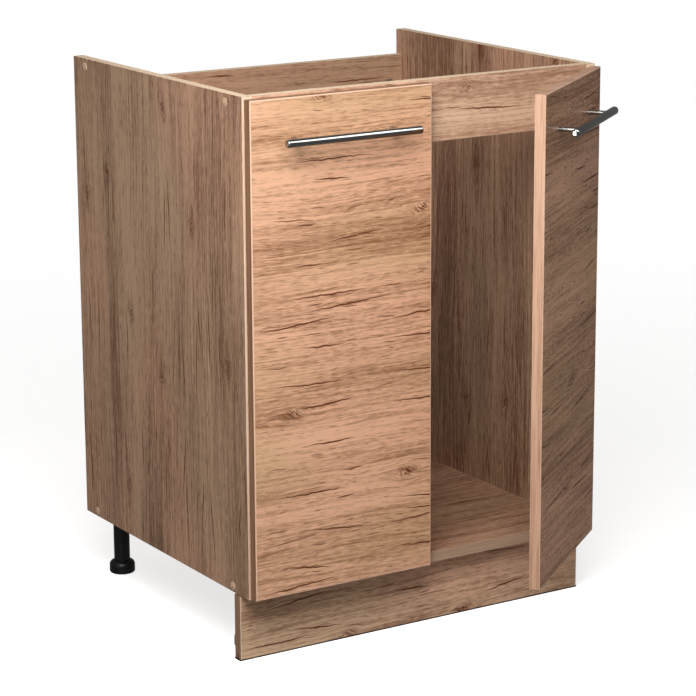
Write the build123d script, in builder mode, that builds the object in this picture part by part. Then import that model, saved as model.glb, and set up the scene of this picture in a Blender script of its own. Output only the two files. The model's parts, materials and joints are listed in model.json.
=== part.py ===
from build123d import *
import os
from math import cos, hypot, radians, sin, sqrt

# Sink base cabinet with two doors, as separate pieces. Millimetres.
# Origin: on the floor at mid-width, under the middle of the plinth board.
# +X is the right-hand side seen from the front, +Y runs to the wall, +Z is up.
# The left door is shut. The right door stands ajar.

os.makedirs("parts", exist_ok=True)

# ---- carcass ----
cabinet_width = 600.0
side_height = 720.0
side_depth = 510.0
board = 16.0
edge_band = 1.0
floor_to_carcass = 100.0
front_rail_height = 90.0
rear_rail_height = 90.0
rear_rail_drop = 40.0

# ---- joints of the carcass ----
screw_line_front = 47.0
screw_line_back = 36.0
confirmat_length = 50.0
confirmat_thread_radius = 2.5
confirmat_neck_radius = 3.5
confirmat_head_radius = 5.0
hex_socket_width = 4.0
cap_radius = 6.7
cap_rim = 0.5
cap_crown = 1.4
cap_stem_radius = 1.8
cap_stem_length = 3.5
blank_hole_radius = 2.5
blank_hole_depth = 10.0
blank_plug_length = 8.0
blank_hole_drop = 12.5
dowel_radius = 4.0
dowel_in_side = 10.0
dowel_in_board = 22.0
rail_dowel_spread = 60.0
bottom_dowel_inset = 140.0
cam_radius = 7.5
cam_depth = 12.5
cam_setback = 24.0
cam_slot_width = 1.5
cam_slot_depth = 2.0
bolt_thread_radius = 2.5
bolt_thread_length = 11.0
bolt_shank_radius = 3.0
bolt_neck_radius = 2.0
bolt_head_radius = 3.4
bolt_clearance = 0.3

# ---- plinth ----
plinth_setback = 26.0
plinth_top_gap = 2.0
seal_height = 2.0
seal_overhang = 1.0
seal_barb_width = 2.0
seal_barb_height = 7.0

# ---- doors ----
door_gap = 2.5
side_reveal = 1.5
end_reveal = 3.0
centre_gap = 3.0
door_band = 2.0
edge_round = 1.5
right_door_angle = 38.0
bumper_radius = 4.0
bumper_clearance = 0.5
bumper_from_edge = 12.0
bumper_from_top = 12.0

# ---- handles ----
handle_length = 220.0
handle_radius = 6.0
handle_stand_off = 32.0
handle_drop = 58.0
handle_chamfer = 0.6
post_spacing = 160.0
post_radius = 3.5
handle_screw_radius = 2.0
handle_screw_head_radius = 4.0
handle_screw_head_height = 2.0
handle_screw_bite = 12.0

# ---- hinges ----
hinge_axis_from_edge = 7.0
hinge_axis_depth = 9.6
upper_hinge_drop = 135.0
lower_hinge_rise = 100.0
cup_from_edge = 20.5
cup_radius = 17.5
cup_depth = 13.0
cup_wall = 0.8
flange_thickness = 1.0
flange_lip = 1.3
cup_screw_spacing = 48.0
cup_screw_offset = 6.0
cup_wing_radius = 7.0
wood_screw_radius = 1.75
wood_screw_head_radius = 3.5
wood_screw_length = 13.0
screw_head_chamfer = 0.25
countersink_angle = 90
pin_radius = 1.25
pin_length = 9.0
running_clearance = 0.05
side_clearance = 0.2
ear_thickness = 1.2
ear_radius = 2.6
eye_radius = 2.2
neck_width = 6.0
arm_width = 16.0
arm_sheet = 1.8
arm_bend = 2.0
arm_slope = 6.0
arm_rise = 9.0
arm_front = 8.0
arm_back = 62.0
swing_clearance = 0.3
plate_line = 37.0
plate_screw_spacing = 32.0
plate_wing_radius = 7.0
plate_sheet = 2.0
plate_block_front = 15.0
plate_block_back = 58.0
euro_screw_radius = 2.5
euro_screw_head_radius = 3.6
euro_screw_length = 12.0
arm_screw_radius = 2.5
arm_screw_head_radius = 4.0
arm_screw_head_height = 2.2
arm_screw_length = 8.0
arm_screw_front = 23.0
arm_screw_back = 50.0

# ---- legs ----
leg_from_side = 43.0
leg_from_front = 80.0
leg_from_back = 32.0
socket_flange_radius = 26.0
socket_flange_thickness = 4.0
socket_boss_radius = 15.5
socket_boss_depth = 12.0
column_radius = 12.5
column_bore_depth = 55.0
foot_radius = 20.0
foot_rim_height = 13.0
foot_height = 20.0
foot_chamfer = 2.0
foot_notches = 6
foot_notch_width = 4.0
foot_notch_height = 5.5
foot_notch_depth = 4.0
foot_groove_depth = 0.8
foot_groove_height = 1.6
foot_lift_clearance = 0.3
spindle_radius = 8.0
spindle_length = 50.0
leg_screws_each = 4
leg_screw_length = 15.0
leg_screw_circle_radius = 20.5
clip_wall = 3.0
clip_height = 14.0
clip_level = 50.0
clip_mouth = 17.0
clip_clearance = 0.1
clip_web = 12.0
clip_pad_width = 22.0
clip_pad_thickness = 2.0
track_width = 44.0
track_base = 2.5
track_hook = 1.4
track_lip = 3.0

# ---- places worked out from the sizes above ----
SIDES = {"left": -1, "right": 1}
front = -(plinth_setback + board / 2)
back = front + side_depth
outer_x = cabinet_width / 2
inner_x = outer_x - board
inner_width = 2 * inner_x
carcass_top = floor_to_carcass + side_height
door_width = (cabinet_width - 2 * side_reveal - centre_gap) / 2
door_bottom = floor_to_carcass + end_reveal
door_top = carcass_top - end_reveal
door_height = door_top - door_bottom
door_angle = {"left": 0.0, "right": right_door_angle}

# A door's own places are measured from its hinge axis: "along" grows to the hinge-side edge, "inward"
# grows towards the cabinet.
hinge_x = outer_x - side_reveal - hinge_axis_from_edge
hinge_y = front - door_gap - hinge_axis_depth
door_inside = hinge_axis_depth
door_outside = hinge_axis_depth - board
door_middle = hinge_axis_from_edge - door_width / 2
hinge_heights = (door_bottom + lower_hinge_rise, door_top - upper_hinge_drop)


def oriented(side_name, height=0.0):
    """Level plane on a door's hinge axis, turned with the door."""
    side = SIDES[side_name]
    turn = radians(side * door_angle[side_name])
    return Plane(
        origin=(side * hinge_x, hinge_y, height),
        x_dir=(cos(turn), sin(turn), 0),
        z_dir=(0, 0, 1),
    )


def door_face(side_name, inward):
    """Upright plane parallel to a door, facing out of the cabinet."""
    level = oriented(side_name)
    return Plane(
        origin=level.origin + level.y_dir * inward,
        x_dir=level.x_dir,
        z_dir=-level.y_dir,
    )


def door_spot(side_name, along, inward, height, facing_in=True):
    """Plane at a place on a door, for a piece that points into or out of the cabinet."""
    level = oriented(side_name, height)
    place = level.origin + level.x_dir * (SIDES[side_name] * along) + level.y_dir * inward
    normal = level.y_dir if facing_in else -level.y_dir
    return Plane(origin=place, x_dir=level.x_dir, z_dir=normal)


def side_spot(side, x, y, height, facing):
    """Plane at a place on a side panel. Facing is +1 away from mid-width, -1 towards it."""
    return Plane(origin=(side * x, y, height), x_dir=(0, 1, 0), z_dir=(side * facing, 0, 0))


def cam_spot(side, y, middle, inward):
    """Plane on a rail's inside face, on the axis of a cam lock."""
    return Plane(
        origin=(side * (inner_x - cam_setback), y + inward * board / 2, middle),
        x_dir=(side, 0, 0),
        z_dir=(0, inward, 0),
    )


def countersunk_screw(head_radius, shank_radius, length):
    """Screw with its flat head at the origin and its shank along -Z."""
    with BuildPart() as screw:
        with BuildSketch(Plane.XZ):
            with BuildLine():
                Polyline(
                    (0, 0),
                    (head_radius, 0),
                    (shank_radius, shank_radius - head_radius),
                    (shank_radius, shank_radius - length),
                    (0, -length),
                    close=True,
                )
            make_face()
        revolve(axis=Axis.Z)
    return screw.part


def pan_head_screw(head_radius, head_height, shank_radius, length):
    """Screw with the underside of its head at the origin and its shank along -Z."""
    with BuildPart() as screw:
        Cylinder(shank_radius, length, align=(Align.CENTER, Align.CENTER, Align.MAX))
        Cylinder(head_radius, head_height, align=(Align.CENTER, Align.CENTER, Align.MIN))
        chamfer(screw.faces().sort_by(Axis.Z)[-1].edges(), screw_head_chamfer)
    return screw.part


def screw_cap(stem_radius, stem_length):
    """Domed cap with its rim at the origin and its stem along -Z."""
    with BuildPart() as cap:
        with BuildSketch(Plane.XZ):
            with BuildLine():
                Polyline(
                    (0, cap_crown),
                    (0, -stem_length),
                    (stem_radius, -stem_length),
                    (stem_radius, 0),
                    (cap_radius, 0),
                    (cap_radius, cap_rim),
                )
                TangentArc((0, cap_crown), (cap_radius, cap_rim), tangent=(1, 0))
            make_face()
        revolve(axis=Axis.Z)
    return cap.part


# ---- places of the carcass joints ----
bottom_level = floor_to_carcass + board / 2
screw_lines = (front + screw_line_front, back - screw_line_back)
bottom_dowel_lines = (front + bottom_dowel_inset, back - bottom_dowel_inset)
rail_joints = {
    "front": (front + board / 2, carcass_top - front_rail_height / 2),
    "rear": (back - board / 2, carcass_top - rear_rail_drop - rear_rail_height / 2),
}
dowel_spots = [
    (y, middle + step)
    for y, middle in rail_joints.values()
    for step in (-rail_dowel_spread / 2, rail_dowel_spread / 2)
]
bottom_dowel_spots = [(y, bottom_level) for y in bottom_dowel_lines]

# ---- places of the legs and of the plinth's clip tracks ----
leg_x = outer_x - leg_from_side
leg_lines = {"front": front + leg_from_front, "rear": back - leg_from_back}
first_leg_screw_angle = 180 / leg_screws_each
leg_spots = [(side * leg_x, y, 0) for side in SIDES.values() for y in leg_lines.values()]
socket_underside = floor_to_carcass - socket_flange_thickness
plinth_back = board / 2
track_face = plinth_back + track_base
track_screw_step = track_width / 2 - 2 * track_lip
track_screw_planes = [
    Plane(origin=(side * leg_x + step, track_face, clip_level), z_dir=(0, 1, 0))
    for side in SIDES.values()
    for step in (-track_screw_step, track_screw_step)
]

# ---- side panels ----
for side_name, side in SIDES.items():
    with BuildPart() as side_panel:
        with BuildSketch(Plane.XY.offset(floor_to_carcass)):
            with Locations((side * (outer_x - board / 2), (front + edge_band + back) / 2)):
                Rectangle(board, side_depth - edge_band)
        extrude(amount=side_height)
        with Locations(*[side_spot(side, outer_x, y, bottom_level, 1) for y in screw_lines]):
            CounterSinkHole(confirmat_neck_radius, confirmat_head_radius, board, countersink_angle)
        with Locations(
            *[side_spot(side, outer_x, y, carcass_top - blank_hole_drop, 1) for y in screw_lines]
        ):
            Hole(blank_hole_radius, blank_hole_depth)
        with Locations(
            *[side_spot(side, inner_x, y, z, -1) for y, z in dowel_spots + bottom_dowel_spots]
        ):
            Hole(dowel_radius, dowel_in_side)
        with Locations(*[side_spot(side, inner_x, y, z, -1) for y, z in rail_joints.values()]):
            Hole(bolt_thread_radius, bolt_thread_length)
        with Locations(
            *[
                side_spot(side, inner_x, front + plate_line, height + step, -1)
                for height in hinge_heights
                for step in (-plate_screw_spacing / 2, plate_screw_spacing / 2)
            ]
        ):
            Hole(euro_screw_radius, euro_screw_length - plate_sheet)
    side_panel.part.label = f"{side_name}_side_panel"
    export_step(side_panel.part, f"parts/{side_name}_side_panel.step")

# ---- bottom panel and rails ----
with BuildPart() as bottom_panel:
    with BuildSketch(Plane.XY.offset(floor_to_carcass)):
        with Locations((0, (front + edge_band + back) / 2)):
            Rectangle(inner_width, side_depth - edge_band)
    extrude(amount=board)
    for side in SIDES.values():
        with Locations(*[side_spot(side, inner_x, y, bottom_level, 1) for y in screw_lines]):
            Hole(confirmat_thread_radius, confirmat_length - board)
        with Locations(*[side_spot(side, inner_x, y, z, 1) for y, z in bottom_dowel_spots]):
            Hole(dowel_radius, dowel_in_board)
    for x, y, z in leg_spots:
        with Locations(Plane(origin=(x, y, floor_to_carcass), z_dir=(0, 0, -1))):
            with PolarLocations(leg_screw_circle_radius, leg_screws_each, first_leg_screw_angle):
                Hole(wood_screw_radius, leg_screw_length - socket_flange_thickness)
bottom_panel.part.label = "bottom_panel"
export_step(bottom_panel.part, "parts/bottom_panel.step")

for rail_name, rail_height, band, inward in (
    ("front", front_rail_height, edge_band, 1),
    ("rear", rear_rail_height, 0, -1),
):
    y, middle = rail_joints[rail_name]
    with BuildPart() as rail:
        with BuildSketch(Plane.XY.offset(middle - rail_height / 2 + band)):
            with Locations((0, y)):
                Rectangle(inner_width, board)
        extrude(amount=rail_height - band)
        for side in SIDES.values():
            with Locations(
                *[
                    side_spot(side, inner_x, y, middle + step, 1)
                    for step in (-rail_dowel_spread / 2, rail_dowel_spread / 2)
                ]
            ):
                Hole(dowel_radius, dowel_in_board)
            with Locations(side_spot(side, inner_x, y, middle, 1)):
                Hole(bolt_head_radius + bolt_clearance, cam_setback)
            with Locations(cam_spot(side, y, middle, inward)):
                Hole(cam_radius, cam_depth)
    rail.part.label = f"{rail_name}_rail"
    export_step(rail.part, f"parts/{rail_name}_rail.step")

# ---- edge bands of the carcass: front edges of sides and bottom, underside of the front rail ----
with BuildPart() as side_edge_bands:
    with BuildSketch(Plane.XY.offset(floor_to_carcass)):
        with Locations(*[(side * (outer_x - board / 2), front) for side in SIDES.values()]):
            Rectangle(board, edge_band, align=(Align.CENTER, Align.MIN))
    extrude(amount=side_height)
side_edge_bands.part.label = "side_edge_bands"
export_step(side_edge_bands.part, "parts/side_edge_bands.step")

with BuildPart() as bottom_edge_band:
    with BuildSketch(Plane.XY.offset(floor_to_carcass)):
        with Locations((0, front)):
            Rectangle(inner_width, edge_band, align=(Align.CENTER, Align.MIN))
    extrude(amount=board)
bottom_edge_band.part.label = "bottom_edge_band"
export_step(bottom_edge_band.part, "parts/bottom_edge_band.step")

with BuildPart() as front_rail_edge_band:
    with BuildSketch(Plane.XY.offset(carcass_top - front_rail_height)):
        with Locations((0, front)):
            Rectangle(inner_width, board, align=(Align.CENTER, Align.MIN))
    extrude(amount=edge_band)
front_rail_edge_band.part.label = "front_rail_edge_band"
export_step(front_rail_edge_band.part, "parts/front_rail_edge_band.step")

# ---- dowels ----
dowel_length = dowel_in_side + dowel_in_board
for node_name, spots in (("rail_dowels", dowel_spots), ("bottom_dowels", bottom_dowel_spots)):
    with BuildPart() as dowels:
        with Locations(
            *[
                side_spot(side, inner_x + dowel_in_side, y, z, -1)
                for side in SIDES.values()
                for y, z in spots
            ]
        ):
            Cylinder(dowel_radius, dowel_length, align=(Align.CENTER, Align.CENTER, Align.MIN))
    dowels.part.label = node_name
    export_step(dowels.part, f"parts/{node_name}.step")

# ---- cam bolts and cam locks ----
with BuildPart() as cam_bolt:
    with BuildSketch(Plane.XZ):
        with BuildLine():
            Polyline(
                (0, -bolt_thread_length),
                (bolt_thread_radius, -bolt_thread_length),
                (bolt_thread_radius, 0),
                (bolt_shank_radius, 0),
                (bolt_shank_radius, cam_setback - cam_radius),
                (bolt_neck_radius, cam_setback - cam_radius + bolt_shank_radius - bolt_neck_radius),
                (bolt_neck_radius, cam_setback - bolt_head_radius),
                (bolt_head_radius, cam_setback - bolt_neck_radius),
                (bolt_head_radius, cam_setback),
                (0, cam_setback),
                close=True,
            )
        make_face()
    revolve(axis=Axis.Z)

with BuildPart() as cam_bolts:
    with Locations(
        *[
            side_spot(side, inner_x, y, z, -1)
            for side in SIDES.values()
            for y, z in rail_joints.values()
        ]
    ):
        add(cam_bolt.part)
cam_bolts.part.label = "cam_bolts"
export_step(cam_bolts.part, "parts/cam_bolts.step")

cam_bolt_depth = board / 2
with BuildPart() as cam_lock:
    Cylinder(cam_radius, cam_depth, align=(Align.CENTER, Align.CENTER, Align.MAX))
    with BuildSketch(Plane.YZ):
        with Locations((0, -cam_bolt_depth)):
            Circle(bolt_head_radius + bolt_clearance)
    extrude(amount=cam_radius, mode=Mode.SUBTRACT)
    with BuildSketch():
        Rectangle(cam_radius, cam_slot_width)
        Rectangle(cam_slot_width, cam_radius)
    extrude(amount=-cam_slot_depth, mode=Mode.SUBTRACT)

with BuildPart() as cam_locks:
    for side in SIDES.values():
        for rail_name, inward in (("front", 1), ("rear", -1)):
            with Locations(cam_spot(side, *rail_joints[rail_name], inward)):
                add(cam_lock.part)
cam_locks.part.label = "cam_locks"
export_step(cam_locks.part, "parts/cam_locks.step")

# ---- screws and caps in the side panels ----
with BuildPart() as confirmat:
    Cylinder(
        confirmat_thread_radius,
        confirmat_length,
        align=(Align.CENTER, Align.CENTER, Align.MAX),
    )
    Cylinder(
        confirmat_neck_radius,
        board,
        align=(Align.CENTER, Align.CENTER, Align.MAX),
    )
    Cone(
        confirmat_neck_radius,
        confirmat_head_radius,
        confirmat_head_radius - confirmat_neck_radius,
        align=(Align.CENTER, Align.CENTER, Align.MAX),
    )
    with BuildSketch():
        RegularPolygon(hex_socket_width / 2, 6, major_radius=False)
    extrude(amount=-hex_socket_width, mode=Mode.SUBTRACT)

with BuildPart() as confirmat_screws:
    with Locations(
        *[side_spot(side, outer_x, y, bottom_level, 1) for side in SIDES.values() for y in screw_lines]
    ):
        add(confirmat.part)
confirmat_screws.part.label = "confirmat_screws"
export_step(confirmat_screws.part, "parts/confirmat_screws.step")

for side_name, side in SIDES.items():
    with BuildPart() as screw_caps:
        with Locations(*[side_spot(side, outer_x, y, bottom_level, 1) for y in screw_lines]):
            add(screw_cap(cap_stem_radius, cap_stem_length))
        with Locations(
            *[side_spot(side, outer_x, y, carcass_top - blank_hole_drop, 1) for y in screw_lines]
        ):
            add(screw_cap(blank_hole_radius, blank_plug_length))
    screw_caps.part.label = f"{side_name}_screw_caps"
    export_step(screw_caps.part, f"parts/{side_name}_screw_caps.step")

# ---- plinth ----
plinth_top = floor_to_carcass - plinth_top_gap
with BuildPart() as plinth_board:
    with BuildSketch(Plane.XY.offset(seal_height)):
        Rectangle(cabinet_width, board)
    extrude(amount=plinth_top - seal_height)
    with BuildSketch(Plane.XY.offset(seal_height)):
        Rectangle(cabinet_width, seal_barb_width)
    extrude(amount=seal_barb_height, mode=Mode.SUBTRACT)
    with Locations(*track_screw_planes):
        Hole(wood_screw_radius, wood_screw_length)
plinth_board.part.label = "plinth_board"
export_step(plinth_board.part, "parts/plinth_board.step")

with BuildPart() as plinth_seal:
    with BuildSketch():
        Rectangle(cabinet_width + 2 * seal_overhang, board)
    extrude(amount=seal_height)
    with BuildSketch(Plane.XY.offset(seal_height)):
        Rectangle(cabinet_width, seal_barb_width)
    extrude(amount=seal_barb_height)
plinth_seal.part.label = "plinth_seal"
export_step(plinth_seal.part, "parts/plinth_seal.step")

# ---- legs ----
column_bottom = foot_height + foot_lift_clearance

with BuildPart() as leg_socket:
    with BuildSketch(Plane.XY.offset(socket_underside)):
        Circle(socket_flange_radius)
    extrude(amount=socket_flange_thickness)
    with BuildSketch(Plane.XY.offset(socket_underside)):
        Circle(socket_boss_radius)
    extrude(amount=-socket_boss_depth)
    with BuildSketch(Plane.XY.offset(socket_underside)):
        Circle(column_radius)
    extrude(amount=-socket_boss_depth, mode=Mode.SUBTRACT)
    with Locations(Plane(origin=(0, 0, socket_underside), z_dir=(0, 0, -1))):
        with PolarLocations(leg_screw_circle_radius, leg_screws_each, first_leg_screw_angle):
            CounterSinkHole(
                wood_screw_radius, wood_screw_head_radius, socket_flange_thickness, countersink_angle
            )

with BuildPart() as leg_sockets:
    with Locations(*leg_spots):
        add(leg_socket.part)
leg_sockets.part.label = "leg_sockets"
export_step(leg_sockets.part, "parts/leg_sockets.step")

with BuildPart() as leg_columns:
    with BuildSketch(Plane.XY.offset(column_bottom)):
        with Locations(*[(x, y) for x, y, z in leg_spots]):
            Circle(column_radius)
    extrude(amount=socket_underside - column_bottom)
    with BuildSketch(Plane.XY.offset(column_bottom)):
        with Locations(*[(x, y) for x, y, z in leg_spots]):
            Circle(spindle_radius + running_clearance)
    extrude(amount=column_bore_depth, mode=Mode.SUBTRACT)
leg_columns.part.label = "leg_columns"
export_step(leg_columns.part, "parts/leg_columns.step")

leg_screw = countersunk_screw(wood_screw_head_radius, wood_screw_radius, leg_screw_length)
with BuildPart() as leg_screws:
    for spot in leg_spots:
        with Locations(Plane(origin=(spot[0], spot[1], socket_underside), z_dir=(0, 0, -1))):
            with PolarLocations(leg_screw_circle_radius, leg_screws_each, first_leg_screw_angle):
                add(leg_screw)
leg_screws.part.label = "leg_screws"
export_step(leg_screws.part, "parts/leg_screws.step")

with BuildPart() as foot:
    with BuildSketch(Plane.XZ):
        with BuildLine():
            Polyline(
                (spindle_radius, foot_height),
                (spindle_radius, foot_height + spindle_length),
                (0, foot_height + spindle_length),
                (0, 0),
                (foot_radius - foot_chamfer, 0),
                (foot_radius, foot_chamfer),
                (foot_radius, foot_rim_height),
            )
            TangentArc(
                (foot_radius, foot_rim_height),
                (column_radius, foot_height),
                tangent=(0, 1),
            )
            Line((column_radius, foot_height), (spindle_radius, foot_height))
        make_face()
    revolve(axis=Axis.Z)
    with PolarLocations(foot_radius, foot_notches, start_angle=180 / foot_notches):
        Box(
            2 * foot_notch_depth,
            foot_notch_width,
            2 * foot_notch_height,
            mode=Mode.SUBTRACT,
        )
    with BuildSketch(Plane.XY.offset(foot_rim_height - 2 * foot_groove_height)):
        Circle(foot_radius + foot_groove_depth)
        Circle(foot_radius - foot_groove_depth, mode=Mode.SUBTRACT)
    extrude(amount=foot_groove_height, mode=Mode.SUBTRACT)

for side_name, side in SIDES.items():
    for line_name, y in leg_lines.items():
        with BuildPart() as placed_foot:
            with Locations((side * leg_x, y, 0)):
                add(foot.part)
        placed_foot.part.label = f"{line_name}_{side_name}_foot"
        export_step(placed_foot.part, f"parts/{line_name}_{side_name}_foot.step")

# ---- plinth clips on the front legs ----
clip_inner = column_radius + clip_clearance
clip_outer = clip_inner + clip_wall
clip_y = leg_lines["front"]

with BuildPart() as clip:
    with BuildSketch(Plane.XY.offset(clip_level)):
        with Locations((0, clip_y)):
            Circle(clip_outer)
        with Locations((0, (track_face + clip_y) / 2)):
            Rectangle(clip_web, clip_y - track_face)
        with Locations((0, clip_y)):
            Circle(clip_inner, mode=Mode.SUBTRACT)
            Rectangle(
                clip_mouth,
                2 * clip_outer,
                align=(Align.CENTER, Align.MIN),
                mode=Mode.SUBTRACT,
            )
    extrude(amount=clip_height / 2, both=True)
    with BuildSketch(Plane.XZ.offset(-track_face)):
        with Locations((0, clip_level)):
            Rectangle(clip_pad_width, clip_height + 2 * track_hook)
    extrude(amount=-clip_pad_thickness)

with BuildPart() as plinth_clips:
    with Locations(*[(side * leg_x, 0, 0) for side in SIDES.values()]):
        add(clip.part)
plinth_clips.part.label = "plinth_clips"
export_step(plinth_clips.part, "parts/plinth_clips.step")

lip_root = clip_level - clip_height / 2 - track_hook - side_clearance
lip_bottom = lip_root - track_lip
lip_top = clip_level - clip_height / 2 - side_clearance
lip_inside = track_face + clip_pad_thickness + side_clearance
lip_outside = lip_inside + track_lip / 2
with BuildPart() as clip_track:
    with BuildSketch(Plane.YZ.offset(-track_width / 2)):
        with BuildLine():
            Polyline(
                (plinth_back, lip_bottom),
                (lip_outside, lip_bottom),
                (lip_outside, lip_top),
                (lip_inside, lip_top),
                (lip_inside, lip_root),
                (track_face, lip_root),
                (track_face, clip_level),
                (plinth_back, clip_level),
                close=True,
            )
        make_face()
        mirror(about=Plane.XZ.offset(-clip_level))
    extrude(amount=track_width)
    with Locations(
        *[
            Plane(origin=(step, track_face, clip_level), z_dir=(0, 1, 0))
            for step in (-track_screw_step, track_screw_step)
        ]
    ):
        CounterSinkHole(wood_screw_radius, wood_screw_head_radius, track_base, countersink_angle)

with BuildPart() as clip_tracks:
    with Locations(*[(side * leg_x, 0, 0) for side in SIDES.values()]):
        add(clip_track.part)
clip_tracks.part.label = "plinth_clip_tracks"
export_step(clip_tracks.part, "parts/plinth_clip_tracks.step")

clip_screw = countersunk_screw(wood_screw_head_radius, wood_screw_radius, wood_screw_length)
with BuildPart() as clip_screws:
    with Locations(*track_screw_planes):
        add(clip_screw)
clip_screws.part.label = "plinth_clip_screws"
export_step(clip_screws.part, "parts/plinth_clip_screws.step")

# ---- hinge plates and arms, fixed to the side panels ----
eye_to_side = hinge_x - inner_x
neck_reach = hypot(hinge_axis_from_edge, hinge_axis_depth) + arm_sheet / 2 + swing_clearance
eye_to_front = front - hinge_y
web_centre = eye_to_side + arm_rise + arm_sheet / 2
channel_foot = eye_to_side + plate_sheet + swing_clearance
block_width = arm_width - 2 * (arm_sheet + side_clearance)

# One arm for the right-hand side, with its eye on the Z axis.
with BuildPart() as arm:
    with BuildSketch(Plane.XY.offset(-arm_width / 2)):
        with BuildLine():
            FilletPolyline(
                (0, 0),
                (-neck_reach, 0),
                (-neck_reach, eye_to_front),
                (-web_centre, eye_to_front + arm_slope),
                (-web_centre, eye_to_front + arm_back),
                radius=arm_bend,
            )
        trace(line_width=arm_sheet)
    extrude(amount=arm_width)
    with BuildSketch(Plane.YZ):
        with BuildLine():
            Polyline(
                (-arm_sheet, -neck_width / 2),
                (eye_to_front, -neck_width / 2),
                (eye_to_front + arm_front, -arm_width / 2),
                (eye_to_front + arm_back, -arm_width / 2),
                (eye_to_front + arm_back, 0),
                (-arm_sheet, 0),
                close=True,
            )
        make_face()
        mirror(about=Plane.XZ)
    extrude(amount=-2 * web_centre, mode=Mode.INTERSECT)
    for edge in (-1, 1):
        with BuildSketch(Plane.XY.offset(edge * arm_width / 2)):
            with Locations((-channel_foot, eye_to_front + arm_front)):
                Rectangle(
                    web_centre - channel_foot,
                    arm_back - arm_front,
                    align=(Align.MAX, Align.MIN),
                )
        extrude(amount=-edge * arm_sheet)
    with BuildSketch():
        Circle(eye_radius)
    extrude(amount=neck_width / 2, both=True)
    with BuildSketch():
        Circle(pin_radius + running_clearance)
    extrude(amount=neck_width / 2, both=True, mode=Mode.SUBTRACT)
    with Locations(
        *[
            Plane(
                origin=(-web_centre - arm_sheet / 2, eye_to_front + y, 0),
                z_dir=(-1, 0, 0),
            )
            for y in (arm_screw_front, arm_screw_back)
        ]
    ):
        Hole(arm_screw_radius, arm_sheet)

# One mounting plate for the right-hand side, against the YZ plane, with Y = 0 at the carcass front.
with BuildPart() as hinge_plate:
    with BuildSketch(Plane.YZ):
        with Locations((plate_line, 0)):
            SlotCenterToCenter(plate_screw_spacing, 2 * plate_wing_radius, rotation=90)
        with Locations(((plate_block_front + plate_block_back) / 2, 0)):
            RectangleRounded(plate_block_back - plate_block_front, arm_width, plate_sheet)
    extrude(amount=-plate_sheet)
    with BuildSketch(Plane.YZ.offset(-plate_sheet)):
        with Locations(((plate_block_front + plate_block_back) / 2, 0)):
            Rectangle(plate_block_back - plate_block_front - 2 * plate_sheet, block_width)
    extrude(amount=plate_sheet - arm_rise)
    with Locations(
        *[
            Plane(origin=(-plate_sheet, plate_line, step), z_dir=(-1, 0, 0))
            for step in (-plate_screw_spacing / 2, plate_screw_spacing / 2)
        ]
    ):
        CounterSinkHole(euro_screw_radius, euro_screw_head_radius, plate_sheet, countersink_angle)
    with Locations(
        *[
            Plane(origin=(-arm_rise, y, 0), z_dir=(-1, 0, 0))
            for y in (arm_screw_front, arm_screw_back)
        ]
    ):
        Hole(arm_screw_radius, arm_screw_length - arm_sheet)

for side_name, side in SIDES.items():
    arm_shape = arm.part if side > 0 else mirror(arm.part, Plane.YZ)
    plate_shape = hinge_plate.part if side > 0 else mirror(hinge_plate.part, Plane.YZ)
    with BuildPart() as hinge_arms:
        with Locations(*[(side * hinge_x, hinge_y, height) for height in hinge_heights]):
            add(arm_shape)
    hinge_arms.part.label = f"{side_name}_hinge_arms"
    export_step(hinge_arms.part, f"parts/{side_name}_hinge_arms.step")
    with BuildPart() as hinge_plates:
        with Locations(*[(side * inner_x, front, height) for height in hinge_heights]):
            add(plate_shape)
    hinge_plates.part.label = f"{side_name}_hinge_plates"
    export_step(hinge_plates.part, f"parts/{side_name}_hinge_plates.step")

with BuildPart() as hinge_plate_screws:
    with Locations(
        *[
            side_spot(side, inner_x - plate_sheet, front + plate_line, height + step, -1)
            for side in SIDES.values()
            for height in hinge_heights
            for step in (-plate_screw_spacing / 2, plate_screw_spacing / 2)
        ]
    ):
        add(countersunk_screw(euro_screw_head_radius, euro_screw_radius, euro_screw_length))
hinge_plate_screws.part.label = "hinge_plate_screws"
export_step(hinge_plate_screws.part, "parts/hinge_plate_screws.step")

with BuildPart() as hinge_arm_screws:
    with Locations(
        *[
            side_spot(side, inner_x - arm_rise - arm_sheet, front + y, height, -1)
            for side in SIDES.values()
            for height in hinge_heights
            for y in (arm_screw_front, arm_screw_back)
        ]
    ):
        add(
            pan_head_screw(
                arm_screw_head_radius,
                arm_screw_head_height,
                arm_screw_radius,
                arm_screw_length,
            )
        )
hinge_arm_screws.part.label = "hinge_arm_screws"
export_step(hinge_arm_screws.part, "parts/hinge_arm_screws.step")

# ---- doors and what they carry ----
cup_along = hinge_axis_from_edge - cup_from_edge
cup_floor = door_inside - cup_depth + cup_wall
handle_level = door_top - handle_drop
post_places = (door_middle - post_spacing / 2, door_middle + post_spacing / 2)
bumper_along = hinge_axis_from_edge - door_width + bumper_from_edge
bumper_heights = (bottom_level, door_top - bumper_from_top)
cup_screw_places = [
    (cup_along - cup_screw_offset, height + step)
    for height in hinge_heights
    for step in (-cup_screw_spacing / 2, cup_screw_spacing / 2)
]
ear_level = neck_width / 2 + side_clearance
ear_reach = cup_along + sqrt((cup_radius - cup_wall / 2) ** 2 - (ear_level + ear_thickness) ** 2)


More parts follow.
